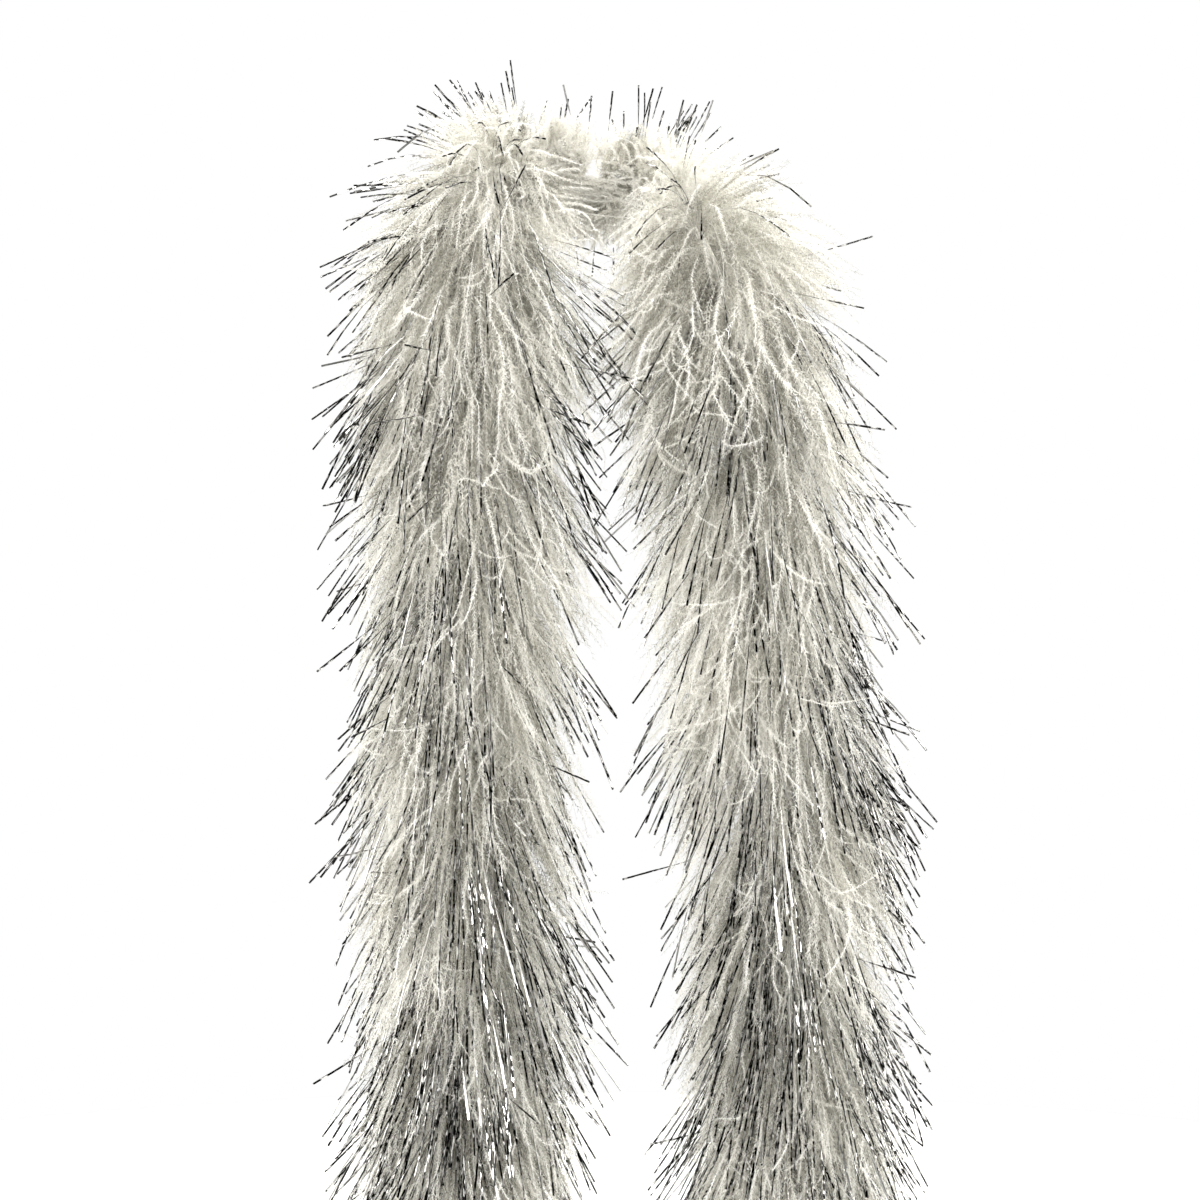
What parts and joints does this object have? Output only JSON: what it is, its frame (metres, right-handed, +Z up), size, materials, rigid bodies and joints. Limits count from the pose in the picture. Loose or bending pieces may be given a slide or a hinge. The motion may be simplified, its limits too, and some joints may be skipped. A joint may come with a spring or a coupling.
{
  "type": "feather boa",
  "caption": "Thick ostrich feather boa with metallic filaments on a twisted cord, draped round the neck with two tails hanging down the front, ending in whipped cord loops.",
  "frame": {"origin": "middle of the core cord, where the boa lies on the wearer's nape", "axes": "+Z up along the wearer's neck, +Y to the wearer's back, +X to the wearer's left, which is the viewer's right; the tails hang down the front"},
  "size_m": [0.4126, 0.3288, 0.9243],
  "materials": {
    "flue": "matte",
    "tinsel": "polished",
    "cord": "matte",
    "thread": "satin"
  },
  "bodies": {
    "collar": {"core_cord_collar": "cord", "nape_thread_binding": "thread", "left_collar_feather_ply_1": "flue", "left_collar_feather_ply_2": "flue", "left_collar_feather_ply_3": "flue", "left_collar_feather_ply_4": "flue", "left_collar_metallic_filament_ply": "tinsel", "left_shoulder_thread_binding": "thread", "right_collar_feather_ply_1": "flue", "right_collar_feather_ply_2": "flue", "right_collar_feather_ply_3": "flue", "right_collar_feather_ply_4": "flue", "right_collar_metallic_filament_ply": "tinsel", "right_shoulder_thread_binding": "thread"},
    "left_tail_upper": {"left_core_cord_upper": "cord", "left_upper_feather_ply_1": "flue", "left_upper_feather_ply_2": "flue", "left_upper_feather_ply_3": "flue", "left_upper_feather_ply_4": "flue", "left_upper_metallic_filament_ply": "tinsel", "left_chest_thread_binding": "thread"},
    "left_tail_middle": {"left_core_cord_middle": "cord", "left_middle_feather_ply_1": "flue", "left_middle_feather_ply_2": "flue", "left_middle_feather_ply_3": "flue", "left_middle_feather_ply_4": "flue", "left_middle_metallic_filament_ply": "tinsel", "left_waist_thread_binding": "thread"},
    "left_tail_lower": {"left_core_cord_lower": "cord", "left_lower_feather_ply_1": "flue", "left_lower_feather_ply_2": "flue", "left_lower_feather_ply_3": "flue", "left_lower_feather_ply_4": "flue", "left_lower_metallic_filament_ply": "tinsel", "left_end_whipping": "thread", "left_end_loop": "cord"},
    "right_tail_upper": {"right_core_cord_upper": "cord", "right_upper_feather_ply_1": "flue", "right_upper_feather_ply_2": "flue", "right_upper_feather_ply_3": "flue", "right_upper_feather_ply_4": "flue", "right_upper_metallic_filament_ply": "tinsel", "right_chest_thread_binding": "thread"},
    "right_tail_middle": {"right_core_cord_middle": "cord", "right_middle_feather_ply_1": "flue", "right_middle_feather_ply_2": "flue", "right_middle_feather_ply_3": "flue", "right_middle_feather_ply_4": "flue", "right_middle_metallic_filament_ply": "tinsel", "right_waist_thread_binding": "thread"},
    "right_tail_lower": {"right_core_cord_lower": "cord", "right_lower_feather_ply_1": "flue", "right_lower_feather_ply_2": "flue", "right_lower_feather_ply_3": "flue", "right_lower_feather_ply_4": "flue", "right_lower_metallic_filament_ply": "tinsel", "right_end_whipping": "thread", "right_end_loop": "cord"}
  },
  "joints": [
    {"name": "left_tail_swing", "type": "hinge", "parent": "collar", "child": "left_tail_upper", "pos_m": [-0.08985, -0.16558, -0.15196], "axis": [-1, 0, 0], "range_deg": [0, 45]},
    {"name": "left_tail_sway", "type": "hinge", "parent": "left_tail_upper", "child": "left_tail_middle", "pos_m": [-0.08826, -0.18314, -0.36077], "axis": [0, 1, 0], "range_deg": [0, 35]},
    {"name": "left_tail_curl", "type": "hinge", "parent": "left_tail_middle", "child": "left_tail_lower", "pos_m": [-0.08822, -0.1851, -0.56573], "axis": [-1, 0, 0], "range_deg": [-20, 45]},
    {"name": "right_tail_swing", "type": "hinge", "parent": "collar", "child": "right_tail_upper", "pos_m": [0.11824, -0.16414, -0.16935], "axis": [-1, 0, 0], "range_deg": [0, 45]},
    {"name": "right_tail_sway", "type": "hinge", "parent": "right_tail_upper", "child": "right_tail_middle", "pos_m": [0.1355, -0.18259, -0.37734], "axis": [0, -1, 0], "range_deg": [0, 35]},
    {"name": "right_tail_curl", "type": "hinge", "parent": "right_tail_middle", "child": "right_tail_lower", "pos_m": [0.14334, -0.18501, -0.58212], "axis": [-1, 0, 0], "range_deg": [-20, 45]}
  ]
}
